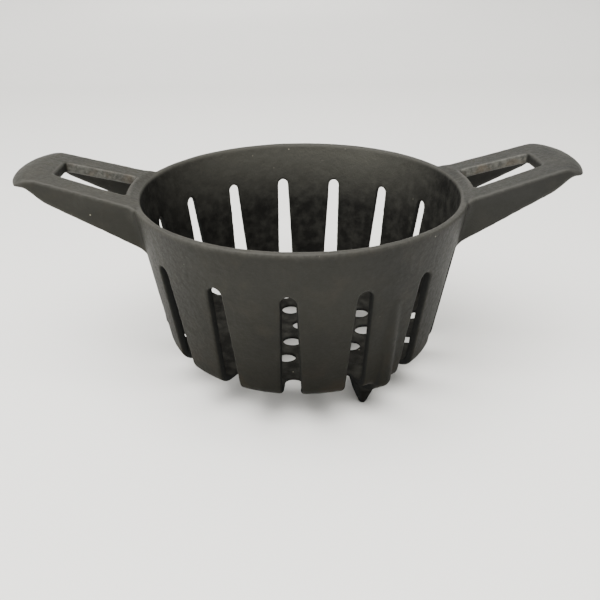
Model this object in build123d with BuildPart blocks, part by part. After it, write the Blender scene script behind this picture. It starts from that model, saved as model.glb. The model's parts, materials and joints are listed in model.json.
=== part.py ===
"""Cast-iron basket with slotted wall, drain holes, three legs and two windowed wing handles.

The object is one casting. It is modelled as the features that the casting is made of, each a
solid of its own, meeting face to face: rim band, staves, bottom plate, legs, handle plates and
handle skirts. Millimetres, +Z up. The origin is on the floor under the centre of the basket,
and the handles point along +X and -X.
"""

from build123d import *
import os
from math import cos, radians, sin, sqrt, tan

# Basket wall
RIM_HEIGHT = 125.8          # floor to the top of the rim
RIM_RADIUS = 106.0          # outside radius at the top of the rim
WALL = 4.7                  # wall thickness, measured level
DRAFT = 8.15                # the wall leans outward by this many degrees
RIM_ROUND = 1.7             # rounding of both edges of the rim

# Dished bottom
BOTTOM_HEIGHT = 18.5        # floor to the underside at the centre
BOTTOM_THICKNESS = 3.2
DISH_RADIUS = 550.0         # spherical radius of the underside
HEEL_ROUND = 8.0            # outside rounding where the wall turns into the bottom
INNER_HEEL_ROUND = 6.0
PLATE_RADIUS = 84.0         # the bottom plate ends and the staves begin here

# Slots and staves
SLOT_COUNT = 15
SLOT_PITCH = 360.0 / SLOT_COUNT
SLOT_SPRING = 94.5          # height where a slot's round top begins
SLOT_TOP_HALF = 4.6         # half width at the outer face, at the round top
SLOT_FLARE = 0.027          # half width gained per millimetre downward
SLOT_SIDE_DRAFT = 0.23      # half width gained per millimetre outward
SLOT_END_RADIUS = 4.9       # round end in the bottom plate
SLOT_END_CENTRE = 76.0      # distance of that end's centre from the axis
SLOT_TURN_HEIGHT = 30.0     # height where a slot turns from the wall into the bottom

# Drain holes
HOLE_RADIUS = 6.15
INNER_RING_RADIUS = 23.3
INNER_RING_COUNT = 5
INNER_RING_START = 36.0     # azimuth of its first hole
OUTER_RING_RADIUS = 45.4
OUTER_RING_COUNT = 12
OUTER_RING_START = 15.0

# Legs
LEG_AZIMUTHS = {"leg_left": 180.0, "leg_right_back": 60.0, "leg_right_front": 300.0}
LEG_RADIUS = 73.8           # distance of a foot from the axis
RIB_RADIUS = 6.0
RIB_TOP = 86.0              # where the rib grows out of the stave
RIB_TOP_PROUD = 0.3
LOBE_HEIGHT = 30.0          # centre of the rounded lower end of the rib
LOBE_PROUD = 4.2
FOOT_PAD_RADIUS = 0.9
FOOT_TIP_ROUND = 1.9
FOOT_TOP_HEIGHT = 23.0
FOOT_TOP_RADIUS = 10.0
FOOT_ROOT_HEIGHT = 31.0     # the foot's cone runs up inside the bottom, where it is trimmed
FOOT_MIDDLE_HEIGHT = 11.0
FOOT_MIDDLE_RADIUS = 6.4
WEB_FOOT_RADIUS = 78.0      # where the web from the rib runs into the foot
WEB_FOOT_HEIGHT = 19.0

# Handles
HANDLE_RISE = 0.285         # slope of the handle's top
HANDLE_ROOT_HEIGHT = 128.0  # height of that slope at the rim's outside radius
HANDLE_ROOT_RADIUS = 103.0  # the plate starts here, on the flat of the rim
HANDLE_ROOT_RISE = 0.5      # slope of the ramp from there up to the handle's top
HANDLE_INNER_X = 80.0       # blanks start here, well inside the wall, and are trimmed to it
HANDLE_REACH = 50.0         # half depth of the blanks
HANDLE_TIP_HEIGHT = 137.8   # flat underside of the nose
PLATE_THICKNESS = 7.0
HANDLE_HALF_AT_RIM = 34.6   # half width at the rim
HANDLE_HALF_AT_TIP = 28.5
NOSE_ROUND = 15.4           # the top turns down over the nose with this radius
NOSE_WALL_X = 180.2         # that round would reach an upright wall here, below the nose
NOSE_CENTRE_X = 102.0       # seen from above, the nose is an arc about this point
HANDLE_TIP_X = 177.2        # where the half width at the tip is measured
WINDOW_INNER_RADIUS = 108.7
WINDOW_OUTER_X = 150.8
WINDOW_HALF_AT_RIM = 18.8   # half width where the window starts, at WINDOW_START_X
WINDOW_START_X = 107.0
WINDOW_HALF_AT_TIP = 12.9
WINDOW_CORNER = 2.0
SKIRT_THICKNESS = 7.5
SKIRT_RISE = 0.535          # slope of the skirt's lower edge
SKIRT_ROOT_X = 98.0
SKIRT_ROOT_HEIGHT = 98.7
SKIRT_BEND_X = 153.5        # the lower edge turns up here, toward the nose
SKIRT_NOSE_X = 163.0        # where it meets the plate's underside
SKIRT_BEND_ROUND = 12.0

SLOPE = tan(radians(DRAFT))
CLEAR = 5.0                 # how far cutters run past a face
FAR = 200.0                 # well outside the object


def wall_radius(height):
    """Outside radius of the wall at a height."""
    return RIM_RADIUS - (RIM_HEIGHT - height) * SLOPE


def heel_corner(inset, dish_bottom):
    """Where the straight wall, moved inward by inset, meets the dish."""
    base_radius = wall_radius(0.0) - inset
    dish_centre = dish_bottom + DISH_RADIUS
    a = 1.0 + SLOPE * SLOPE
    b = 2.0 * (base_radius * SLOPE - dish_centre)
    c = base_radius ** 2 + dish_centre ** 2 - DISH_RADIUS ** 2
    height = (-b - sqrt(b * b - 4.0 * a * c)) / (2.0 * a)
    return base_radius + SLOPE * height, height


def dish_height(radius, dish_bottom):
    """Height of the dish at a distance from the axis."""
    return dish_bottom + DISH_RADIUS - sqrt(DISH_RADIUS ** 2 - radius ** 2)


def bowl_section(inset, dish_bottom, heel_round, top):
    """Half section of a filled bowl, from the axis to the wall moved inward by inset."""
    corner_radius, corner_height = heel_corner(inset, dish_bottom)
    half = corner_radius / 2.0
    with BuildSketch(Plane.XZ) as section:
        with BuildLine():
            Line((0, top), (0, dish_bottom))
            ThreePointArc(
                (0, dish_bottom),
                (half, dish_height(half, dish_bottom)),
                (corner_radius, corner_height),
            )
            Line((corner_radius, corner_height), (wall_radius(top) - inset, top))
            Line((wall_radius(top) - inset, top), (0, top))
        make_face()
        heel = section.vertices().sort_by(Axis.X)[-2]
        fillet(heel, heel_round)
    return section.sketch


def shell_section(low_radius, high_radius, low, high):
    """Section of the shell between two radii and two heights."""
    with BuildSketch(Plane.XZ) as section:
        add(bowl_section(0.0, BOTTOM_HEIGHT, HEEL_ROUND, RIM_HEIGHT))
        add(
            bowl_section(WALL, BOTTOM_HEIGHT + BOTTOM_THICKNESS, INNER_HEEL_ROUND, RIM_HEIGHT + CLEAR),
            mode=Mode.SUBTRACT,
        )
        with Locations(((low_radius + high_radius) / 2, (low + high) / 2)):
            Rectangle(high_radius - low_radius, high - low, mode=Mode.INTERSECT)
    return section.sketch


def slot_half_width(radius, height):
    """Half width of a slot, which widens downward and outward."""
    from_face = radius - wall_radius(height)
    return SLOT_TOP_HALF + SLOT_FLARE * (SLOT_SPRING - height) + SLOT_SIDE_DRAFT * from_face


def slot_outline(radius, azimuth, low):
    """Face across a slot at one distance from the axis: straight sides and a round top."""
    top = slot_half_width(radius, SLOT_SPRING)
    bottom = slot_half_width(radius, low)
    across = Plane(
        origin=(radius * cos(radians(azimuth)), radius * sin(radians(azimuth)), 0),
        x_dir=(-sin(radians(azimuth)), cos(radians(azimuth)), 0),
        z_dir=(cos(radians(azimuth)), sin(radians(azimuth)), 0),
    )
    with BuildSketch(across) as outline:
        with BuildLine():
            Line((-bottom, low), (bottom, low))
            Line((bottom, low), (top, SLOT_SPRING))
            ThreePointArc((top, SLOT_SPRING), (0, SLOT_SPRING + top), (-top, SLOT_SPRING))
            Line((-top, SLOT_SPRING), (-bottom, low))
        make_face()
    return outline.sketch


def slot_cutter(azimuth):
    """What one slot takes out of the wall, the heel and the bottom."""
    outer = RIM_RADIUS + CLEAR
    turn_face = wall_radius(SLOT_TURN_HEIGHT)
    turn_half = slot_half_width(turn_face, SLOT_TURN_HEIGHT)
    flare_start = turn_face - (turn_half - SLOT_END_RADIUS) / SLOT_SIDE_DRAFT
    outer_half = slot_half_width(outer, SLOT_TURN_HEIGHT)
    with BuildPart() as cutter:
        wall_outlines = [
            slot_outline(radius, azimuth, SLOT_TURN_HEIGHT) for radius in (PLATE_RADIUS, outer)
        ]
        loft(wall_outlines, ruled=True)
        with BuildSketch(Plane.XY.rotated((0, 0, azimuth)).offset(BOTTOM_HEIGHT - CLEAR)):
            with BuildLine():
                Line((SLOT_END_CENTRE, SLOT_END_RADIUS), (flare_start, SLOT_END_RADIUS))
                Line((flare_start, SLOT_END_RADIUS), (outer, outer_half))
                Line((outer, outer_half), (outer, -outer_half))
                Line((outer, -outer_half), (flare_start, -SLOT_END_RADIUS))
                Line((flare_start, -SLOT_END_RADIUS), (SLOT_END_CENTRE, -SLOT_END_RADIUS))
                ThreePointArc(
                    (SLOT_END_CENTRE, -SLOT_END_RADIUS),
                    (SLOT_END_CENTRE - SLOT_END_RADIUS, 0),
                    (SLOT_END_CENTRE, SLOT_END_RADIUS),
                )
            make_face()
        extrude(amount=SLOT_TURN_HEIGHT - BOTTOM_HEIGHT + CLEAR)
    return cutter.part


def slot_azimuths():
    return [index * SLOT_PITCH for index in range(SLOT_COUNT)]


def finish(piece, label):
    """Name a finished piece and write it."""
    piece.label = label
    export_step(piece, f"parts/{label}.step")
    print(f"{label:28s} {piece.volume / 1000:9.2f} cm3")


os.makedirs("parts", exist_ok=True)
cutters = [slot_cutter(azimuth) for azimuth in slot_azimuths()]

# The filled outside of the basket, which the legs and the handles are fitted against.
with BuildPart() as envelope:
    add(bowl_section(0.0, BOTTOM_HEIGHT, HEEL_ROUND, RIM_HEIGHT))
    revolve(axis=Axis.Z)
    fillet(envelope.faces().sort_by(Axis.Z)[-1].edges(), RIM_ROUND)

# ---------------------------------------------------------------- rim band
with BuildPart() as rim_band:
    add(shell_section(0.0, FAR, SLOT_SPRING, FAR))
    revolve(axis=Axis.Z)
    rim_edges = rim_band.faces().sort_by(Axis.Z)[-1].edges()
    fillet(rim_edges, RIM_ROUND)
    for cutter in cutters:
        add(cutter, mode=Mode.SUBTRACT)
finish(rim_band.part, "rim_band")


# ---------------------------------------------------------------- staves
def make_stave(index):
    """The strip of wall between two slots, down to and round the heel."""
    start = index * SLOT_PITCH
    with BuildPart() as stave:
        add(shell_section(PLATE_RADIUS, FAR, 0.0, SLOT_SPRING).rotate(Axis.Z, start))
        revolve(axis=Axis.Z, revolution_arc=SLOT_PITCH)
        add(cutters[index], mode=Mode.SUBTRACT)
        add(cutters[(index + 1) % SLOT_COUNT], mode=Mode.SUBTRACT)
    return stave.part


for index in range(SLOT_COUNT):
    finish(make_stave(index), f"stave_{index + 1:02d}")

# ---------------------------------------------------------------- bottom plate
with BuildPart() as bottom_plate:
    add(shell_section(0.0, PLATE_RADIUS, 0.0, SLOT_SPRING))
    revolve(axis=Axis.Z)
    for cutter in cutters:
        add(cutter, mode=Mode.SUBTRACT)
    with BuildSketch(Plane.XY.offset(BOTTOM_HEIGHT - CLEAR)):
        Circle(HOLE_RADIUS)
        with PolarLocations(INNER_RING_RADIUS, INNER_RING_COUNT, start_angle=INNER_RING_START):
            Circle(HOLE_RADIUS)
        with PolarLocations(OUTER_RING_RADIUS, OUTER_RING_COUNT, start_angle=OUTER_RING_START):
            Circle(HOLE_RADIUS)
    extrude(amount=SLOT_TURN_HEIGHT - BOTTOM_HEIGHT + CLEAR, mode=Mode.SUBTRACT)
finish(bottom_plate.part, "bottom_plate")


# ---------------------------------------------------------------- legs
def at(azimuth, radius, height):
    """Point at an azimuth, a distance from the axis and a height."""
    return Vector(radius * cos(radians(azimuth)), radius * sin(radians(azimuth)), height)


def make_leg(azimuth):
    """Rib down a stave, a round lobe at the heel, and a tapered foot under the bottom."""
    rib_top = at(azimuth, wall_radius(RIB_TOP) + RIB_TOP_PROUD - RIB_RADIUS, RIB_TOP)
    lobe = at(azimuth, wall_radius(LOBE_HEIGHT) + LOBE_PROUD - RIB_RADIUS, LOBE_HEIGHT)
    web_end = at(azimuth, WEB_FOOT_RADIUS, WEB_FOOT_HEIGHT)
    foot = at(azimuth, LEG_RADIUS, 0.0)
    with BuildPart() as leg:
        for start, end in ((lobe, rib_top), (lobe, web_end)):
            run = end - start
            with BuildSketch(Plane(origin=start, z_dir=run)):
                Circle(RIB_RADIUS)
            extrude(amount=run.length)
        with Locations(lobe, rib_top, web_end):
            Sphere(RIB_RADIUS)
        with BuildSketch(Plane(origin=foot, x_dir=at(azimuth, 1, 0), z_dir=at(azimuth + 90, -1, 0))):
            with BuildLine():
                pad = Line((0, 0), (FOOT_PAD_RADIUS, 0))
                edge = (FOOT_PAD_RADIUS + FOOT_TIP_ROUND, FOOT_TIP_ROUND)
                TangentArc((FOOT_PAD_RADIUS, 0), edge, tangent=pad % 1)
                Line(edge, (FOOT_MIDDLE_RADIUS, FOOT_MIDDLE_HEIGHT))
                Line((FOOT_MIDDLE_RADIUS, FOOT_MIDDLE_HEIGHT), (FOOT_TOP_RADIUS, FOOT_TOP_HEIGHT))
                Line((FOOT_TOP_RADIUS, FOOT_TOP_HEIGHT), (FOOT_TOP_RADIUS, FOOT_ROOT_HEIGHT))
                Line((FOOT_TOP_RADIUS, FOOT_ROOT_HEIGHT), (0, FOOT_ROOT_HEIGHT))
                Line((0, FOOT_ROOT_HEIGHT), (0, 0))
            make_face()
        revolve(axis=Axis(foot, (0, 0, 1)))
        add(envelope.part, mode=Mode.SUBTRACT)
    return leg.part


for name, azimuth in LEG_AZIMUTHS.items():
    finish(make_leg(azimuth), name)


# ---------------------------------------------------------------- handles
def handle_half_width(x):
    """Half width of the handle, which narrows toward the tip."""
    share = (x - RIM_RADIUS) / (HANDLE_TIP_X - RIM_RADIUS)
    return HANDLE_HALF_AT_RIM + share * (HANDLE_HALF_AT_TIP - HANDLE_HALF_AT_RIM)


def handle_top(x):
    """Height of the handle's straight top."""
    return HANDLE_ROOT_HEIGHT + (x - RIM_RADIUS) * HANDLE_RISE


def handle_under(x):
    """Height of the plate's straight underside."""
    return handle_top(x) - PLATE_THICKNESS * sqrt(1 + HANDLE_RISE ** 2)


def skirt_bottom(x):
    """Height of the skirt's straight lower edge."""
    return SKIRT_ROOT_HEIGHT + (x - SKIRT_ROOT_X) * SKIRT_RISE


def plan_outline():
    """The handle's tapering sides seen from above, from inside the wall to beyond the nose."""
    inner_half = handle_half_width(HANDLE_INNER_X)
    outer_half = handle_half_width(NOSE_WALL_X)
    with BuildSketch() as outline:
        Polygon(
            (HANDLE_INNER_X, -inner_half),
            (NOSE_WALL_X, -outer_half),
            (NOSE_WALL_X, outer_half),
            (HANDLE_INNER_X, inner_half),
            align=None,
        )
    return outline.sketch


def window_outline():
    """The finger window seen from above; its inner side follows the rim."""
    taper = (WINDOW_HALF_AT_RIM - WINDOW_HALF_AT_TIP) / (WINDOW_OUTER_X - WINDOW_START_X)
    inner_half = WINDOW_HALF_AT_RIM + (WINDOW_START_X - HANDLE_INNER_X) * taper
    with BuildSketch() as outline:
        Polygon(
            (HANDLE_INNER_X, -inner_half),
            (WINDOW_OUTER_X, -WINDOW_HALF_AT_TIP),
            (WINDOW_OUTER_X, WINDOW_HALF_AT_TIP),
            (HANDLE_INNER_X, inner_half),
            align=None,
        )
        Circle(WINDOW_INNER_RADIUS, mode=Mode.SUBTRACT)
        fillet(outline.vertices(), WINDOW_CORNER)
    return outline.sketch


# The plate's underside meets the flat lip under the nose here.
lip_x = RIM_RADIUS + (HANDLE_TIP_HEIGHT - handle_under(RIM_RADIUS)) / HANDLE_RISE
lip_start = (lip_x, HANDLE_TIP_HEIGHT)

# What stays clear over the rim: above its top, and above the ramp up to the handle.
with BuildPart() as rim_clearance:
    with BuildSketch(Plane.XZ):
        ramp_end = RIM_HEIGHT + (FAR - HANDLE_ROOT_RADIUS) * HANDLE_ROOT_RISE
        Polygon(
            (0, RIM_HEIGHT),
            (HANDLE_ROOT_RADIUS, RIM_HEIGHT),
            (FAR, ramp_end),
            (0, ramp_end),
            align=None,
        )
    revolve(axis=Axis.Z)

with BuildPart() as handle_right_plate:
    with BuildSketch(Plane.XZ):
        Polygon(
            (HANDLE_INNER_X, handle_top(HANDLE_INNER_X) - CLEAR),
            (HANDLE_INNER_X, handle_top(HANDLE_INNER_X)),
            (FAR, handle_top(FAR)),
            (FAR, handle_top(HANDLE_INNER_X) - CLEAR),
            align=None,
        )
    extrude(amount=HANDLE_REACH, both=True)
    with BuildSketch(Plane.XY):
        with Locations((NOSE_CENTRE_X, 0)):
            Circle(NOSE_WALL_X - NOSE_CENTRE_X)
            Rectangle(FAR, 2 * HANDLE_REACH, align=(Align.MAX, Align.CENTER))
    extrude(amount=FAR, mode=Mode.INTERSECT)
    fillet(handle_right_plate.edges().filter_by(GeomType.ELLIPSE).sort_by(Axis.Z)[-1], NOSE_ROUND)
    with BuildSketch(Plane.XZ):
        Polygon(
            (HANDLE_INNER_X, handle_under(HANDLE_INNER_X)),
            (HANDLE_INNER_X, FAR),
            (FAR, FAR),
            (FAR, HANDLE_TIP_HEIGHT),
            lip_start,
            align=None,
        )
    extrude(amount=HANDLE_REACH, both=True, mode=Mode.INTERSECT)
    with BuildSketch(Plane.XY):
        add(plan_outline())
    extrude(amount=FAR, mode=Mode.INTERSECT)
    with BuildSketch(Plane.XY):
        add(window_outline())
    extrude(amount=FAR, mode=Mode.SUBTRACT)
    add(envelope.part, mode=Mode.SUBTRACT)
    add(rim_clearance.part, mode=Mode.SUBTRACT)
finish(handle_right_plate.part, "handle_right_plate")


def make_skirt(side):
    """Side wall under the right handle's plate: side is -1 for the front, +1 for the back."""
    with BuildPart() as skirt:
        with BuildSketch(Plane.XZ) as side_view:
            with BuildLine():
                top_root = (HANDLE_INNER_X, handle_under(HANDLE_INNER_X))
                low_root = (HANDLE_INNER_X, skirt_bottom(HANDLE_INNER_X))
                bend = (SKIRT_BEND_X, skirt_bottom(SKIRT_BEND_X))
                nose = (SKIRT_NOSE_X, handle_under(SKIRT_NOSE_X))
                Line(top_root, low_root)
                Line(low_root, bend)
                Line(bend, nose)
                Line(nose, top_root)
            make_face()
            fillet(side_view.vertices().sort_by_distance((*bend, 0))[0], SKIRT_BEND_ROUND)
        extrude(amount=HANDLE_REACH, both=True)
        with BuildSketch(Plane.XY):
            add(plan_outline())
            offset(plan_outline(), amount=-SKIRT_THICKNESS, mode=Mode.SUBTRACT)
        extrude(amount=FAR, mode=Mode.INTERSECT)
        split(bisect_by=Plane.XZ, keep=Keep.TOP if side < 0 else Keep.BOTTOM)
        add(envelope.part, mode=Mode.SUBTRACT)
    return skirt.part


handle_right_skirts = {"front": make_skirt(-1), "back": make_skirt(1)}
for position, skirt in handle_right_skirts.items():
    finish(skirt, f"handle_right_skirt_{position}")

with BuildPart() as handle_left_plate:
    mirror(handle_right_plate.part, about=Plane.YZ)
finish(handle_left_plate.part, "handle_left_plate")

for position, skirt in handle_right_skirts.items():
    with BuildPart() as handle_left_skirt:
        mirror(skirt, about=Plane.YZ)
    finish(handle_left_skirt.part, f"handle_left_skirt_{position}")
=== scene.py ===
"""Looks of the cast-iron basket strainer.

The object is one sand casting, so its skin is made as one: the CAD nodes are read as distance
fields, joined with cast fillets, given a sand-cast surface, turned back into a mesh and cut
along the same lines as the CAD nodes. Each cut piece stands for its node. Metres, +Z up.
"""

import bpy
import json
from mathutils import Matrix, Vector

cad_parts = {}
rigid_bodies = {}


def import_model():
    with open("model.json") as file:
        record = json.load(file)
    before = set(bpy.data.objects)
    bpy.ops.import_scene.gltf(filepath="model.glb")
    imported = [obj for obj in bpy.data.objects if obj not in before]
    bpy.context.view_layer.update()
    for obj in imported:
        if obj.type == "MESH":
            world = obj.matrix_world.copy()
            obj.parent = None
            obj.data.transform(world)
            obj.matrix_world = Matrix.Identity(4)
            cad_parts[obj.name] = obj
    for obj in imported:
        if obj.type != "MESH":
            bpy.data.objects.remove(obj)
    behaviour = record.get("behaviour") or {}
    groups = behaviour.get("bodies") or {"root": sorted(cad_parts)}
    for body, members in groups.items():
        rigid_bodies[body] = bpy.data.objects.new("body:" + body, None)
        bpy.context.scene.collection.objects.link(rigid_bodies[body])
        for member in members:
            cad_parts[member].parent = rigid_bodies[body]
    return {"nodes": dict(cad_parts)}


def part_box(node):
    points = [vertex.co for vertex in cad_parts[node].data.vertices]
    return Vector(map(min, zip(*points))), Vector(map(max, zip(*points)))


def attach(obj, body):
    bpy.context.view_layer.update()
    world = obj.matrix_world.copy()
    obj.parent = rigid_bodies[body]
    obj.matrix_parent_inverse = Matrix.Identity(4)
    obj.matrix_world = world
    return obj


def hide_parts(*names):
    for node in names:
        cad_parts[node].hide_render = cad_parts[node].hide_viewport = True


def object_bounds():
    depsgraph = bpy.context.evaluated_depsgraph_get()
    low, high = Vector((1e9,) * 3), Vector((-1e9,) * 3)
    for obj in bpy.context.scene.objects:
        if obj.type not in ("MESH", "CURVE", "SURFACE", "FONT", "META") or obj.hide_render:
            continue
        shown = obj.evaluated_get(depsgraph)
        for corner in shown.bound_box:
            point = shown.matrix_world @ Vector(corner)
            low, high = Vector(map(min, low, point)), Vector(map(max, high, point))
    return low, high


for spare in list(bpy.data.objects):
    bpy.data.objects.remove(spare)
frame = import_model()
cad_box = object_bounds()

import json
from math import cos, pi, sin, tau

import numpy as np
import openvdb
from mathutils import Matrix, Vector

MM = 0.001
VOXEL = 0.7 * MM

# ---------------------------------------------------------------- dimensions, of the frame and the CAD
STAVES = sorted(name for name in frame["nodes"] if name.startswith("stave_"))
LEGS = sorted(name for name in frame["nodes"] if name.startswith("leg_"))
PLATES = ["handle_left_plate", "handle_right_plate"]
SKIRTS = sorted(name for name in frame["nodes"] if "_skirt_" in name)
RIM_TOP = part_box("rim_band")[1].z
RIM_RADIUS = 106.0 * MM
BAND_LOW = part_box("rim_band")[0].z
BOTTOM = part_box("bottom_plate")[0].z
PLATE_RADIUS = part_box("bottom_plate")[1].y
WALL = 4.7 * MM
WALL_SLOPE = 0.1432                 # the wall's outside gains this much radius per unit of height
DISH_RADIUS = 550.0 * MM
HEEL = (91.7 * MM, 25.4 * MM)       # the corner that the heel's round would have
HEEL_TOP = 35.0 * MM
HANDLE_RISE = 0.285
HANDLE_ROOT = 128.0 * MM            # height of the handle's sloped top at the rim's radius
UNDER_DROP = 7.28 * MM              # from that top to the plate's underside
LIP_HEIGHT = 137.8 * MM             # flat underside of the nose


def wall_radius(height):
    """Outside radius of the wall at a height."""
    return RIM_RADIUS - (RIM_TOP - height) * WALL_SLOPE


# ---------------------------------------------------------------- distance fields
PAD = 10                            # empty voxels around the object
REACH = 9                           # voxels that a distance is known for, each side of a surface
FAR = np.float32(REACH * VOXEL)
grid_low = np.floor(np.array(cad_box[0]) / VOXEL).astype(int) - PAD
grid_high = np.ceil(np.array(cad_box[1]) / VOXEL).astype(int) + PAD
grid_shape = grid_high - grid_low + 1
transform = openvdb.createLinearTransform(voxelSize=VOXEL)
gx, gy, gz = np.ogrid[tuple(slice(a, b + 1) for a, b in zip(grid_low, grid_high))]
gx, gy, gz = (axis.astype(np.float32) * np.float32(VOXEL) for axis in (gx, gy, gz))
g_radius = np.sqrt(gx * gx + gy * gy)


def level_set(points, triangles=None, quads=None):
    return openvdb.FloatGrid.createLevelSetFromPolygons(
        points, triangles=triangles, quads=quads, transform=transform, halfWidth=float(REACH)
    )


def node_level_set(name):
    """The level set of a CAD node, and the box of grid indices that it can change."""
    mesh = frame["nodes"][name].data
    mesh.calc_loop_triangles()
    points = np.empty(len(mesh.vertices) * 3, np.float32)
    mesh.vertices.foreach_get("co", points)
    points = points.reshape(-1, 3)
    corners = np.empty(len(mesh.loop_triangles) * 3, np.int32)
    mesh.loop_triangles.foreach_get("vertices", corners)
    grid = level_set(points, triangles=corners.reshape(-1, 3).astype(np.uint32))
    low = np.floor(points.min(0) / VOXEL).astype(int) - REACH - 1
    high = np.ceil(points.max(0) / VOXEL).astype(int) + REACH + 1
    return grid, np.maximum(low, grid_low), np.minimum(high, grid_high)


def soft_union(a, b, blend):
    """Union of two distance fields with a fillet of about the size of blend between them."""
    near = np.maximum(blend - np.abs(a - b), 0)
    return np.minimum(a, b) - near * near / (4 * blend)


def soft_intersection(a, b, blend):
    return -soft_union(-a, -b, blend)


def nodes_field(names, blend):
    """One field of several CAD nodes."""
    field = np.full(grid_shape, FAR, np.float32)
    for name in names:
        grid, low, high = node_level_set(name)
        block = np.empty(high - low + 1, np.float32)
        grid.copyToArray(block, ijk=tuple(int(v) for v in low))
        part = tuple(slice(a, b) for a, b in zip(low - grid_low, high - grid_low + 1))
        field[part] = soft_union(field[part], block, np.float32(blend))
    return field


def surface(field):
    """Points and quads of the surface where the field is 0."""
    grid = openvdb.FloatGrid(float(FAR))
    grid.transform = transform
    grid.copyFromArray(field, ijk=tuple(int(v) for v in grid_low))
    return grid.convertToQuads(0.0)


def measured_again(field, *offsets):
    """Distances measured afresh after moving the surface by each offset in turn."""
    points, quads = surface(field)
    grid = level_set(points, quads=quads)
    for offset in offsets:
        points, quads = grid.convertToQuads(offset)
        grid = level_set(points, quads=quads)
    block = np.empty(grid_shape, np.float32)
    grid.copyToArray(block, ijk=tuple(int(v) for v in grid_low))
    return block


def smooth_step(values, low, high):
    share = np.clip((values - low) / (high - low), 0, 1)
    return share * share * (3 - 2 * share)


SEAM_BLEND = 0.2 * MM               # between nodes that meet flush
CORNER_FILL = 2.2 * MM              # fillet inside the handles, between plate and skirts
WALL_FILLET = 3.2 * MM              # where a handle leaves the wall
TOP_FILLET = 1.0 * MM               # where it meets the rim's top, on the rim
TOP_FLARE = 6.5 * MM                # what that fillet gains outside the rim's radius
FLARE_IN, FLARE_OUT = 2.0 * MM, 1.5 * MM    # it gains it from inside to outside that radius
TOP_START, TOP_FULL = 16.0 * MM, 4.0 * MM   # depths under the rim's top where that fillet starts and is full
TOP_ABOVE = 0.3 * MM                # the fillets may rise this far above the rim and the handles
TOP_ROUND = 1.2 * MM
LEG_FILLET = 1.3 * MM
EDGE_ROUND = 0.45 * MM
basket = measured_again(nodes_field(["rim_band", *STAVES, "bottom_plate"], SEAM_BLEND))
handles = measured_again(nodes_field(PLATES + SKIRTS, SEAM_BLEND), CORNER_FILL) + CORNER_FILL
legs = nodes_field(LEGS, SEAM_BLEND)

# The handles' fillet is wide outside the rim near its top, and narrow on top of the rim.
handle_top = np.maximum(RIM_TOP, HANDLE_ROOT + (np.abs(gx) - RIM_RADIUS) * HANDLE_RISE)
flare = smooth_step(g_radius, RIM_RADIUS - FLARE_IN, RIM_RADIUS + FLARE_OUT)
top_blend = TOP_FILLET + TOP_FLARE * flare
near_top = smooth_step(gz, RIM_TOP - TOP_START, RIM_TOP - TOP_FULL)
root_blend = (WALL_FILLET * (1 - near_top) + top_blend * near_top).astype(np.float32)
casting = soft_union(basket, handles, root_blend)
above_top = (gz - handle_top - TOP_ABOVE).astype(np.float32)
casting = soft_intersection(casting, above_top, TOP_ROUND)
casting = soft_union(casting, legs, LEG_FILLET)
casting = measured_again(casting, -EDGE_ROUND) - EDGE_ROUND


# ---------------------------------------------------------------- sand-cast surface
BITS_32, BITS_24 = 0xFFFFFFFF, 0xFFFFFF
PLACE_PRIMES = (73856093, 19349663, 83492791)
SEED_PRIME, FIRST_PRIME, SECOND_PRIME = 2654435761, 2246822519, 3266489917
SEED_SHIFT = 17.31                  # each seed's lattice is moved by this many cells


def scrambled(corner, seed):
    """A value between -1 and 1 for each corner of the lattice, from its whole-number place."""
    h = np.bitwise_xor.reduce(corner * PLACE_PRIMES, axis=1)
    h = (h ^ seed * SEED_PRIME) & BITS_32
    h = ((h ^ (h >> 15)) * FIRST_PRIME) & BITS_32
    h = ((h ^ (h >> 13)) * SECOND_PRIME) & BITS_32
    return ((h ^ (h >> 16)) & BITS_24) / (BITS_24 // 2) - 1


def lattice_noise(points, wavelength, seed):
    """Smooth noise between -1 and 1, the same on every run."""
    spots = points / wavelength + seed * SEED_SHIFT
    corner = np.floor(spots).astype(np.int64)
    part = spots - corner
    part = part * part * part * (part * (part * 6 - 15) + 10)
    total = np.zeros(len(points))
    for dx in (0, 1):
        for dy in (0, 1):
            for dz in (0, 1):
                value = scrambled(corner + (dx, dy, dz), seed)
                wx = part[:, 0] if dx else 1 - part[:, 0]
                wy = part[:, 1] if dy else 1 - part[:, 1]
                wz = part[:, 2] if dz else 1 - part[:, 2]
                total += value * wx * wy * wz
    return total


SKIN_DEPTH = 1.6 * MM               # the field is changed this far each side of the surface
SAND_WAVES = ((0.13 * MM, 26 * MM), (0.06 * MM, 7 * MM), (0.05 * MM, 2.6 * MM))    # height, wavelength
LATTICE_TURN = np.array(Matrix.Rotation(0.7, 3, Vector((1, 2, 3))))    # keeps the lattice off the axes

skin = np.nonzero(np.abs(casting) < SKIN_DEPTH)
spots = (np.stack(skin, 1) + grid_low) * VOXEL @ LATTICE_TURN
bumps = sum(
    height * lattice_noise(spots, wavelength, seed)
    for seed, (height, wavelength) in enumerate(SAND_WAVES, start=1)
)
casting[skin] -= bumps.astype(np.float32)

points, quads = surface(casting)


# ---------------------------------------------------------------- meshes
def new_object(name, mesh):
    made = bpy.data.objects.new(name, mesh)
    bpy.context.scene.collection.objects.link(made)
    return made


def mesh_from(name, points, faces):
    """A mesh from arrays of points and of equal-sided faces."""
    mesh = bpy.data.meshes.new(name)
    sides = faces.shape[1]
    mesh.vertices.add(len(points))
    mesh.vertices.foreach_set("co", np.ascontiguousarray(points, np.float32).ravel())
    mesh.loops.add(faces.size)
    mesh.loops.foreach_set("vertex_index", np.ascontiguousarray(faces, np.int32).ravel())
    mesh.polygons.add(len(faces))
    mesh.polygons.foreach_set("loop_start", np.arange(0, faces.size, sides, dtype=np.int32))
    mesh.update(calc_edges=True)
    mesh.validate()
    return mesh


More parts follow.
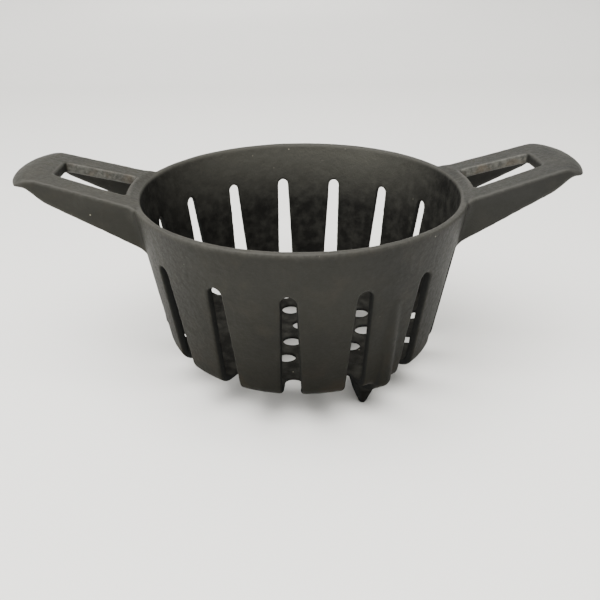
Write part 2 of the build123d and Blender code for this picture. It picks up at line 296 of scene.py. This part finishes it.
iron = bpy.data.materials.new("cast_iron_skin")
cut_material = bpy.data.materials.new("cut")
whole = new_object("whole_casting", mesh_from("whole_casting", points, quads))
whole.data.materials.append(iron)


def region_object(verts, faces):
    mesh = bpy.data.meshes.new("region")
    mesh.from_pydata(verts, [], faces)
    mesh.update()
    made = new_object("region", mesh)
    made.data.materials.append(cut_material)
    return made


def lathe(profile, segments=360):
    """A closed mesh turned from a profile of (radius, height) points that starts and ends on the axis."""
    rings = profile[1:-1]
    circle = [(cos(tau * k / segments), sin(tau * k / segments)) for k in range(segments)]
    verts = [(0, 0, profile[0][1])]
    for radius, height in rings:
        verts += [(radius * x, radius * y, height) for x, y in circle]
    verts.append((0, 0, profile[-1][1]))
    last = len(verts) - 1
    faces = []
    for k in range(segments):
        after = (k + 1) % segments
        faces.append((0, 1 + after, 1 + k))
        for ring in range(len(rings) - 1):
            base = 1 + ring * segments
            faces.append((base + k, base + after, base + segments + after, base + segments + k))
        base = 1 + (len(rings) - 1) * segments
        faces.append((base + k, base + after, last))
    return region_object(verts, faces)


def prism(outline, low, high):
    """A closed mesh from an outline of (x, z) points, between two values of y."""
    count = len(outline)
    verts = [(x, low, z) for x, z in outline] + [(x, high, z) for x, z in outline]
    faces = [tuple(range(count)), tuple(range(2 * count - 1, count - 1, -1))]
    faces += [(k, count + k, count + (k + 1) % count, (k + 1) % count) for k in range(count)]
    return region_object(verts, faces)


def cut(source, region, operation):
    """A new object: source kept inside the region (INTERSECT) or outside it (DIFFERENCE)."""
    step = source.modifiers.new("cut", "BOOLEAN")
    step.solver = "MANIFOLD"
    step.operation = operation
    step.object = region
    step.material_mode = "TRANSFER"
    mesh = bpy.data.meshes.new_from_object(source.evaluated_get(bpy.context.evaluated_depsgraph_get()))
    source.modifiers.remove(step)
    return new_object(source.name + "_" + operation.lower(), mesh)


CUT_CLEAR = 0.9 * MM                # the cuts for legs and handles run this far outside the wall
ABOVE, BELOW = 0.16, -0.1           # heights above and below everything
WIDE, DEEP = 0.3, 0.2               # half sizes past everything along X and Y
DISH_STEPS, HEEL_STEPS = 8, 6
dish_low = BOTTOM - CUT_CLEAR
profile = [(0, dish_low)]
for step in range(1, DISH_STEPS + 1):
    r = PLATE_RADIUS * step / DISH_STEPS
    profile.append((r, dish_low + r * r / (2 * DISH_RADIUS)))
heel_start = Vector(profile[-1])
heel_corner = Vector((HEEL[0] + CUT_CLEAR, HEEL[1] - CUT_CLEAR))
heel_end = Vector((wall_radius(HEEL_TOP) + CUT_CLEAR, HEEL_TOP))
for step in range(1, HEEL_STEPS + 1):
    t = step / HEEL_STEPS
    spot = heel_start * (1 - t) ** 2 + heel_corner * 2 * t * (1 - t) + heel_end * t * t
    profile.append(tuple(spot))
profile += [(wall_radius(ABOVE) + CUT_CLEAR, ABOVE), (0, ABOVE)]
basket_region = lathe(profile)
inside = cut(whole, basket_region, "INTERSECT")
outside = cut(whole, basket_region, "DIFFERENCE")
band_sides = [(-WIDE, BAND_LOW), (WIDE, BAND_LOW), (WIDE, ABOVE * 2), (-WIDE, ABOVE * 2)]
band_region = prism(band_sides, -DEEP, DEEP)
band = cut(inside, band_region, "INTERSECT")
lower = cut(inside, band_region, "DIFFERENCE")
PLATE_ABOVE = 0.05                  # a height between the bottom plate and the rim band
plate_region = lathe([(0, BELOW), (PLATE_RADIUS, BELOW), (PLATE_RADIUS, PLATE_ABOVE), (0, PLATE_ABOVE)])
bottom = cut(lower, plate_region, "INTERSECT")
staves = cut(lower, plate_region, "DIFFERENCE")


def under(x):
    """Height of a handle plate's underside at a distance from the middle."""
    return HANDLE_ROOT + (x - RIM_RADIUS) * HANDLE_RISE - UNDER_DROP


lip_x = RIM_RADIUS + (LIP_HEIGHT - HANDLE_ROOT + UNDER_DROP) / HANDLE_RISE
SKIRT_LOW = 0.092                   # a height between the legs and the skirts
SKIRT_IN, SKIRT_OUT = 0.09, 0.19    # distances from the middle, inside the wall and past the noses
outline = [
    (SKIRT_IN, under(SKIRT_IN) - CUT_CLEAR),
    (SKIRT_IN, SKIRT_LOW),
    (SKIRT_OUT, SKIRT_LOW),
    (SKIRT_OUT, LIP_HEIGHT - CUT_CLEAR),
    (lip_x, LIP_HEIGHT - CUT_CLEAR),
]
mirrored = [(-x, z) for x, z in reversed(outline)]
right_region = prism(outline, -DEEP / 2, DEEP / 2)
left_region = prism(mirrored, -DEEP / 2, DEEP / 2)
right_skirts = cut(outside, right_region, "INTERSECT")
left_skirts = cut(outside, left_region, "INTERSECT")
rest = cut(outside, right_region, "DIFFERENCE")
rest = cut(rest, left_region, "DIFFERENCE")


# ---------------------------------------------------------------- pieces
def sample(field, points):
    """The field between its grid points."""
    spots = points / VOXEL - grid_low
    corner = np.floor(spots).astype(np.int64)
    part = (spots - corner).astype(np.float32)
    total = np.zeros(len(points), np.float32)
    for dx in (0, 1):
        for dy in (0, 1):
            for dz in (0, 1):
                wx = np.abs(1 - dx - part[:, 0])
                wy = np.abs(1 - dy - part[:, 1])
                wz = np.abs(1 - dz - part[:, 2])
                total += wx * wy * wz * field[corner[:, 0] + dx, corner[:, 1] + dy, corner[:, 2] + dz]
    return total


def field_slope(field, points, step):
    """Slope of the field along X, Y and Z, which is the outward normal."""
    slope = np.empty((len(points), 3), np.float32)
    for axis in range(3):
        shift = np.zeros(3)
        shift[axis] = step
        slope[:, axis] = sample(field, points + shift) - sample(field, points - shift)
    return slope / np.linalg.norm(slope, axis=1, keepdims=True)


def field_bend(field, points, step):
    """How convex the surface is: above 0 on an edge, below 0 in a corner."""
    total = -6 * sample(field, points)
    for axis in range(3):
        for side in (-step, step):
            shift = np.zeros(3)
            shift[axis] = side
            total += sample(field, points + shift)
    return total / step


def mesh_arrays(mesh):
    """Face centres, sides per face, cut faces, the faces' corners and the points."""
    centres = np.empty(len(mesh.polygons) * 3, np.float32)
    mesh.polygons.foreach_get("center", centres)
    totals = np.empty(len(mesh.polygons), np.int32)
    mesh.polygons.foreach_get("loop_total", totals)
    caps = np.empty(len(mesh.polygons), np.int32)
    mesh.polygons.foreach_get("material_index", caps)
    corners = np.empty(len(mesh.loops), np.int32)
    mesh.loops.foreach_get("vertex_index", corners)
    points = np.empty(len(mesh.vertices) * 3, np.float32)
    mesh.vertices.foreach_get("co", points)
    return centres.reshape(-1, 3), totals, caps > 0, corners, points.reshape(-1, 3)


NORMAL_STEP = 0.8 * VOXEL
BEND_STEP = 1.6 * MM


def make_piece(node, arrays, keep):
    """One closed piece from the chosen faces, which stands for a CAD node."""
    totals, caps, corners, points = arrays[1:]
    in_piece = np.repeat(keep, totals)
    used, corner = np.unique(corners[in_piece], return_inverse=True)
    sides = totals[keep]
    mesh = bpy.data.meshes.new("cast_" + node)
    mesh.vertices.add(len(used))
    mesh.vertices.foreach_set("co", points[used].ravel())
    mesh.loops.add(len(corner))
    mesh.loops.foreach_set("vertex_index", corner.astype(np.int32))
    mesh.polygons.add(len(sides))
    mesh.polygons.foreach_set("loop_start", (np.cumsum(sides) - sides).astype(np.int32))
    mesh.update(calc_edges=True)
    places = points[used].astype(np.float64)
    normals = field_slope(casting, places, NORMAL_STEP)
    loop_normals = normals[corner]
    face_normals = np.empty(len(sides) * 3, np.float32)
    mesh.polygons.foreach_get("normal", face_normals)
    on_cap = np.repeat(caps[keep], sides)
    loop_normals[on_cap] = np.repeat(face_normals.reshape(-1, 3), sides, axis=0)[on_cap]
    mesh.polygons.foreach_set("use_smooth", np.ones(len(sides), bool))
    mesh.normals_split_custom_set(loop_normals)
    edge = mesh.attributes.new("edge", "FLOAT", "POINT")
    edge.data.foreach_set("value", field_bend(casting, places, BEND_STEP))
    mesh.materials.append(iron)
    piece = new_object("cast_" + node, mesh)
    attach(piece, "root")
    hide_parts(node)


for node, source in (("rim_band", band), ("bottom_plate", bottom)):
    arrays = mesh_arrays(source.data)
    make_piece(node, arrays, np.ones(len(arrays[0]), bool))

arrays = mesh_arrays(staves.data)
turned = np.degrees(np.arctan2(arrays[0][:, 1], arrays[0][:, 0])) % 360
sector = turned // (360 / len(STAVES))
for index, node in enumerate(STAVES):
    make_piece(node, arrays, sector == index)

for side, source in (("right", right_skirts), ("left", left_skirts)):
    arrays = mesh_arrays(source.data)
    at_back = arrays[0][:, 1] > 0
    make_piece(f"handle_{side}_skirt_back", arrays, at_back)
    make_piece(f"handle_{side}_skirt_front", arrays, ~at_back)

arrays = mesh_arrays(rest.data)
at_right, at_back, is_plate = (arrays[0] > (0, 0, SKIRT_LOW)).T
make_piece("handle_right_plate", arrays, is_plate & at_right)
make_piece("handle_left_plate", arrays, is_plate & ~at_right)
make_piece("leg_left", arrays, ~is_plate & ~at_right)
make_piece("leg_right_back", arrays, ~is_plate & at_right & at_back)
make_piece("leg_right_front", arrays, ~is_plate & at_right & ~at_back)

for spare in [o for o in bpy.data.objects if o.name.startswith(("whole_casting", "region"))]:
    bpy.data.objects.remove(spare)


# ---------------------------------------------------------------- material
class Nodes:
    """Short calls for building a node tree."""

    def __init__(self, tree):
        self.tree = tree
        tree.nodes.clear()

    def add(self, kind, **values):
        node = self.tree.nodes.new(kind)
        for name, value in values.items():
            if name in node.inputs.keys():
                self.put(node.inputs[name], value)
            else:
                setattr(node, name, value)
        return node

    def put(self, socket, value):
        if isinstance(value, bpy.types.NodeSocket):
            self.tree.links.new(value, socket)
        else:
            socket.default_value = value

    def math(self, operation, *values, clamp=False):
        node = self.tree.nodes.new("ShaderNodeMath")
        node.operation = operation
        node.use_clamp = clamp
        for socket, value in zip(node.inputs, values):
            self.put(socket, value)
        return node.outputs[0]

    def split(self, vector):
        return self.add("ShaderNodeSeparateXYZ", Vector=vector).outputs[:]

    def noise(self, place, scale, detail=2.0, roughness=0.5):
        node = self.add("ShaderNodeTexNoise", Vector=place, Scale=scale, Detail=detail, Roughness=roughness)
        return node.outputs["Fac"]

    def ramp(self, value, low, high, start=0.0, end=1.0):
        node = self.add("ShaderNodeMapRange", clamp=True)
        names = ("Value", "From Min", "From Max", "To Min", "To Max")
        for name, number in zip(names, (value, low, high, start, end)):
            self.put(node.inputs[name], number)
        return node.outputs[0]

    def mix(self, factor, a, b):
        node = self.tree.nodes.new("ShaderNodeMix")
        node.data_type = "RGBA"
        self.put(node.inputs["Factor"], factor)
        self.put(node.inputs["A"], a)
        self.put(node.inputs["B"], b)
        return [o for o in node.outputs if o.type == "RGBA"][0]


WINDOW_HALF, WINDOW_NEAR, WINDOW_FAR = 0.020, 0.107, 0.1505    # a handle's window, across and along
WINDOW_DEPTH = 0.0074               # height of the window's faces under the sloped top
WINDOW_SOFT = 0.001                 # its mask fades over this much each way along, and half of it across
SLOT_TOP = 0.1                      # just above the slots

# Heights from which a look fades in, and where it is full.
INSIDE_FADE = (0.1255, 0.1235)
# painted shade: the outside wall is painted darker towards the bottom
LOW_SHADE_FADE = (0.1, 0.02)
RUST_FADE = (0.055, 0.03)
# painted light: the inside of the back wall is painted paler high up
PAINTED_BACK_LIGHT_FADE = (0.08, 0.118)
# wear on the top edges, partly a painted highlight
WORN_HIGHLIGHT_FADE = (0.112, 0.122)
GLOSS_FADE = (0.02, 0.115)
TOP_GLOSS_FADE = (0.122, 0.128)
GLOSS = (0.02, 0.148)               # specular level at the bottom and high up
TOP_GLOSS = 0.045                   # added on the rim's top and the handles
DULL_GLOSS = 0.35                   # share of it that is left inside and in the slots
ROUGHNESS = (0.5, 0.64)
DULL_ROUGHNESS = 0.2                # added inside and in the slots

# How much of a colour shows where its mask is full.
# Some of these shares are for painted light and shade: a cool reflection to the right, shade low on the
# outside wall, light high on the inside back, shade on the slots' side faces, and a highlight along with
# wear on top edges.
BROWN_SHARE, COOL_REFLECTION_SHARE, RUST_SHARE, LOW_SHADE_SHARE = 0.4, 0.35, 0.45, 0.75
PAINTED_BACK_LIGHT_SHARE, SLOT_SHADE_SHARE, BROKEN_RUST_SHARE = 0.9, 0.75, 0.45
WORN_HIGHLIGHT_SHARE, SPECK_SHARE = 0.3, 0.8

# Sizes of the noises, in cells per metre.
BROAD, BROWN_MOTTLE, RUST_SPOTS, INSIDE_BLOTCHES = 16.0, 85.0, 60.0, 140.0
BROKEN_GRAIN, BROKEN_SPOTS, COARSE = 420.0, 110.0, 230.0
GRAIN, PITS, SPECKS = 480.0, 950.0, 72.0

SKIN_DARK = (0.0112, 0.0110, 0.0088, 1)
SKIN_LIGHT = (0.0180, 0.0176, 0.0141, 1)
SKIN_BROWN = (0.027, 0.0238, 0.017, 1)
# painted reflection: a cool tint, shown on the right of the outside
SKIN_COOL_REFLECTION = (0.0145, 0.0152, 0.0155, 1)
SKIN_RUST = (0.04, 0.026, 0.015, 1)
# painted shade: the darker colour for the bottom of the outside wall
SKIN_LOW_SHADE = (0.006, 0.0058, 0.0045, 1)
# wear on edges together with a painted highlight
SKIN_WORN_HIGHLIGHT = (0.07, 0.067, 0.06, 1)
SKIN_SPECK = (0.24, 0.225, 0.18, 1)
INSIDE_DARK = (0.0075, 0.0074, 0.0068, 1)
INSIDE_LIGHT = (0.018, 0.0178, 0.0158, 1)
# painted light, for the inside of the back wall high up
INSIDE_BACK_LIGHT = (0.052, 0.051, 0.044, 1)
# painted shade, for the slots' side faces
SLOT_SHADE = (0.010, 0.0105, 0.0105, 1)
BROKEN_DARK = (0.034, 0.034, 0.031, 1)
BROKEN_LIGHT = (0.088, 0.087, 0.076, 1)
BROKEN_RUST = (0.078, 0.055, 0.034, 1)


def inside_mask(n, radius, z):
    """1 on the basket's inside, which lies within the middle of the wall and under the rim's top."""
    middle_wall = n.math("MULTIPLY_ADD", z, WALL_SLOPE, RIM_RADIUS - RIM_TOP * WALL_SLOPE - WALL / 2)
    within = n.ramp(n.math("SUBTRACT", middle_wall, radius), -0.5 * MM, 0.8 * MM)
    return n.math("MULTIPLY", within, n.ramp(z, *INSIDE_FADE))


def slot_mask(n, place, normal, radius):
    """1 on the side faces of the slots, which face along the wall."""
    x, y, z = place
    across = n.math("SUBTRACT", n.math("MULTIPLY", normal[1], x), n.math("MULTIPLY", normal[0], y))
    mask = n.ramp(n.math("ABSOLUTE", n.math("DIVIDE", across, radius)), 0.55, 0.85)
    mask = n.math("MULTIPLY", mask, n.ramp(radius, RIM_RADIUS + 1.5 * MM, RIM_RADIUS + 0.5 * MM))
    return n.math("MULTIPLY", mask, n.ramp(z, SLOT_TOP + 1.0 * MM, SLOT_TOP - 0.5 * MM))


def window_mask(n, place, normal):
    """1 on the long faces of the handles' windows, down to the plate's underside."""
    x, y, z = place
    length = n.math("ABSOLUTE", x)
    half_soft = WINDOW_SOFT / 2
    mask = n.ramp(n.math("ABSOLUTE", y), WINDOW_HALF + half_soft, WINDOW_HALF - half_soft)
    mask = n.math("MULTIPLY", mask, n.ramp(length, WINDOW_NEAR - WINDOW_SOFT, WINDOW_NEAR + WINDOW_SOFT))
    mask = n.math("MULTIPLY", mask, n.ramp(length, WINDOW_FAR + WINDOW_SOFT, WINDOW_FAR - WINDOW_SOFT))
    mask = n.math("MULTIPLY", mask, n.ramp(n.math("ABSOLUTE", normal[1]), 0.5, 0.75))
    slope_top = n.math("MULTIPLY_ADD", length, HANDLE_RISE, HANDLE_ROOT - RIM_RADIUS * HANDLE_RISE)
    depth = n.math("SUBTRACT", slope_top, z)
    return n.math("MULTIPLY", mask, n.ramp(depth, WINDOW_DEPTH + 0.4 * MM, WINDOW_DEPTH - 0.4 * MM))


def outside_colour(n, place, x, z, radius):
    """Mottled dark iron, with a painted cool reflection to the right, painted shade darker low on the wall,
    and a little rust low on the wall.
    """
    colour = n.mix(n.ramp(n.noise(place, BROAD, 3.0), 0.35, 0.65), SKIN_DARK, SKIN_LIGHT)
    mottle = n.noise(place, BROWN_MOTTLE, 3.0)
    colour = n.mix(n.ramp(mottle, 0.5, 0.75, 0, BROWN_SHARE), colour, SKIN_BROWN)
    # painted reflection: the outside is tinted cooler towards the right
    colour = n.mix(n.ramp(x, -0.05, 0.12, 0, COOL_REFLECTION_SHARE), colour, SKIN_COOL_REFLECTION)
    spots = n.ramp(n.noise(place, RUST_SPOTS, 3.0), 0.48, 0.66)
    rust = n.math("MULTIPLY", n.ramp(z, *RUST_FADE), spots)
    colour = n.mix(n.math("MULTIPLY", rust, RUST_SHARE), colour, SKIN_RUST)
    # painted shade: the outside wall darkens towards the bottom
    low_shade = n.math("MULTIPLY", n.ramp(z, *LOW_SHADE_FADE), n.ramp(radius, RIM_RADIUS + 6 * MM, RIM_RADIUS))
    return n.mix(n.math("MULTIPLY", low_shade, LOW_SHADE_SHARE), colour, SKIN_LOW_SHADE)


def inside_colour(n, place, y, z):
    """Darker blotched iron, with painted light high on the inside of the back."""
    colour = n.mix(n.ramp(n.noise(place, INSIDE_BLOTCHES, 3.0), 0.4, 0.7), INSIDE_DARK, INSIDE_LIGHT)
    # painted light: paler high on the inside of the back wall
    painted_back_light = n.math("MULTIPLY", n.ramp(z, *PAINTED_BACK_LIGHT_FADE, 0, PAINTED_BACK_LIGHT_SHARE), n.ramp(y, 0.02, 0.085))
    return n.mix(painted_back_light, colour, INSIDE_BACK_LIGHT)


def broken_colour(n, place):
    """Rough grey faces with rust spots."""
    grain = n.noise(place, BROKEN_GRAIN, 4.0, 0.7)
    colour = n.mix(n.ramp(grain, 0.38, 0.66), BROKEN_DARK, BROKEN_LIGHT)
    spots = n.noise(place, BROKEN_SPOTS, 2.0)
    return n.mix(n.ramp(spots, 0.5, 0.72, 0, BROKEN_RUST_SHARE), colour, BROKEN_RUST)


def build_iron(material):
    """Dark cast iron: satin skin, rough dark inside, wear with a painted highlight along top edges, painted
    light and shade in places, rusty window faces.
    """
    material.use_nodes = True
    n = Nodes(material.node_tree)
    place = n.add("ShaderNodeTexCoord").outputs["Object"]
    x, y, z = n.split(place)
    normal = n.split(n.add("ShaderNodeNewGeometry").outputs["Normal"])
    edge = n.add("ShaderNodeAttribute", attribute_name="edge").outputs["Fac"]
    radius = n.math("SQRT", n.math("ADD", n.math("MULTIPLY", x, x), n.math("MULTIPLY", y, y)))
    inside = inside_mask(n, radius, z)
    slot_face = slot_mask(n, (x, y, z), normal, radius)
    window = window_mask(n, (x, y, z), normal)
    grain = n.noise(place, GRAIN, 3.0, 0.6)

    colour = n.mix(inside, outside_colour(n, place, x, z, radius), inside_colour(n, place, y, z))
    # painted shade: the slots' side faces are painted darker
    colour = n.mix(n.math("MULTIPLY", slot_face, SLOT_SHADE_SHARE), colour, SLOT_SHADE)
    colour = n.mix(window, colour, broken_colour(n, place))
    # convex edges on top: partly wear, partly a painted highlight
    worn_highlight = n.math("MULTIPLY", n.ramp(edge, 0.12, 0.7), n.ramp(grain, 0.3, 0.6, 0.4, 1.0))
    worn_highlight = n.math("MULTIPLY", worn_highlight, n.ramp(z, *WORN_HIGHLIGHT_FADE))
    colour = n.mix(n.math("MULTIPLY", worn_highlight, WORN_HIGHLIGHT_SHARE), colour, SKIN_WORN_HIGHLIGHT)
    cell = n.add("ShaderNodeTexVoronoi", Vector=place, Scale=SPECKS).outputs["Distance"]
    speck = n.ramp(cell, 0.04, 0.022)
    colour = n.mix(n.math("MULTIPLY", speck, SPECK_SHARE), colour, SKIN_SPECK)

    dull = n.math("MAXIMUM", inside, slot_face)
    rough = n.ramp(grain, 0.3, 0.7, *ROUGHNESS)
    rough = n.math("MULTIPLY_ADD", dull, DULL_ROUGHNESS, rough, clamp=True)
    pits = n.noise(place, PITS, 2.0, 0.7)
    height = n.math("ADD", n.math("MULTIPLY", grain, 0.6), n.math("MULTIPLY", pits, 0.4))
    coarse = n.math("MULTIPLY", n.noise(place, COARSE, 3.0, 0.7), dull)
    height = n.math("MULTIPLY_ADD", coarse, 2.2, height)
    bump = n.add("ShaderNodeBump", Strength=0.6, Distance=0.4 * MM, Height=height)
    gloss = n.math("ADD", n.ramp(z, *GLOSS_FADE, *GLOSS), n.ramp(z, *TOP_GLOSS_FADE, 0, TOP_GLOSS))
    gloss = n.math("MULTIPLY", gloss, n.ramp(dull, 0, 1, 1, DULL_GLOSS))
    shader = n.add("ShaderNodeBsdfPrincipled", Roughness=rough, Normal=bump.outputs[0])
    shader.inputs["Base Color"].default_value = SKIN_DARK
    n.put(shader.inputs["Base Color"], colour)
    n.put(shader.inputs["Specular IOR Level"], gloss)
    n.add("ShaderNodeOutputMaterial", Surface=shader.outputs[0])


build_iron(iron)

# ---------------------------------------------------------------- stage, light and camera
FLOOR_COLOUR, FLOOR_ROUGHNESS = (0.72, 0.715, 0.70, 1), 0.35


def pale_surface(name, colour, roughness):
    material = bpy.data.materials.new(name)
    material.use_nodes = True
    n = Nodes(material.node_tree)
    shader = n.add("ShaderNodeBsdfPrincipled", Roughness=roughness)
    shader.inputs["Base Color"].default_value = colour
    n.add("ShaderNodeOutputMaterial", Surface=shader.outputs[0])
    return material


def sweep():
    """Floor and back wall in one, joined by a wide curve."""
    radius, back, half, top = 0.25, 1.3, 4.0, 3.0
    steps = 12
    line = [(-half, 0.0), (back - radius, 0.0)]
    for k in range(1, steps + 1):
        turned = pi / 2 * k / steps
        line.append((back - radius + radius * sin(turned), radius - radius * cos(turned)))
    line.append((back, top))
    verts = [(x, y, z) for y, z in line for x in (-half, half)]
    faces = [(2 * k, 2 * k + 1, 2 * k + 3, 2 * k + 2) for k in range(len(line) - 1)]
    mesh = bpy.data.meshes.new("floor")
    mesh.from_pydata(verts, [], faces)
    mesh.polygons.foreach_set("use_smooth", [True] * len(faces))
    mesh.materials.append(pale_surface("pale_floor", FLOOR_COLOUR, FLOOR_ROUGHNESS))
    floor = new_object("floor", mesh)


def area_light(name, place, target, size, power, colour):
    lamp = bpy.data.lights.new(name, "AREA")
    lamp.shape = "RECTANGLE"
    lamp.size, lamp.size_y = size
    lamp.energy = power
    lamp.color = colour
    made = new_object(name, lamp)
    made.location = place
    made.rotation_euler = (Vector(target) - Vector(place)).to_track_quat("-Z", "Y").to_euler()


ROOM_LEVEL, ROOM_OVERHEAD = 0.25, 2.3    # the room is dim at eye height and bright overhead
ROOM_RIGHT, ROOM_BACK = -0.9, 0.1        # and it is brighter to the left, where the window is
ROOM_COLOUR = (1.0, 0.995, 0.965, 1)
sweep()
area_light(
    "top_light", place=(-0.12, -0.42, 1.45), target=(0, 0, 0.05), size=(1.7, 1.2), power=58.0,
    colour=(1.0, 0.985, 0.95),
)
area_light(
    "left_fill", place=(-1.4, -0.9, 0.9), target=(0, 0, 0.08), size=(1.0, 1.0), power=5.0,
    colour=(0.97, 0.985, 1.0),
)
world = bpy.data.worlds.new("room")
bpy.context.scene.world = world
world.use_nodes = True
n = Nodes(world.node_tree)
toward_right, toward_back, upward = n.split(n.add("ShaderNodeTexCoord").outputs["Generated"])
overhead = n.math("MAXIMUM", n.math("MULTIPLY_ADD", upward, ROOM_OVERHEAD, ROOM_LEVEL), 0.0)
toward_window = n.math("MULTIPLY_ADD", toward_right, ROOM_RIGHT, 1.0)
toward_window = n.math("MULTIPLY_ADD", toward_back, ROOM_BACK, toward_window)
shade = n.add("ShaderNodeBackground", Strength=n.math("MULTIPLY", overhead, toward_window))
shade.inputs["Color"].default_value = ROOM_COLOUR
n.add("ShaderNodeOutputWorld", Surface=shade.outputs[0])

CAMERA_PLACE = (-14.35 * MM, -386.06 * MM, 255.74 * MM)
CAMERA_YAW, CAMERA_PITCH, CAMERA_ROLL = 0.0349, 0.5065, -0.0096    # radians
SENSOR_WIDTH, FOCAL_LENGTH = 36.0, 37.34    # mm
camera = new_object("camera", bpy.data.cameras.new("camera"))
camera.data.sensor_width = SENSOR_WIDTH
camera.data.lens = FOCAL_LENGTH
ahead = Vector((sin(CAMERA_YAW), cos(CAMERA_YAW), 0))
forward = ahead * cos(CAMERA_PITCH) - Vector((0, 0, sin(CAMERA_PITCH)))
level = Vector((cos(CAMERA_YAW), -sin(CAMERA_YAW), 0))
upright = level.cross(forward)
right = cos(CAMERA_ROLL) * level + sin(CAMERA_ROLL) * upright
up = cos(CAMERA_ROLL) * upright - sin(CAMERA_ROLL) * level
turn = Matrix((right, up, -forward)).transposed()
camera.matrix_world = Matrix.Translation(CAMERA_PLACE) @ turn.to_4x4()
bpy.context.scene.camera = camera
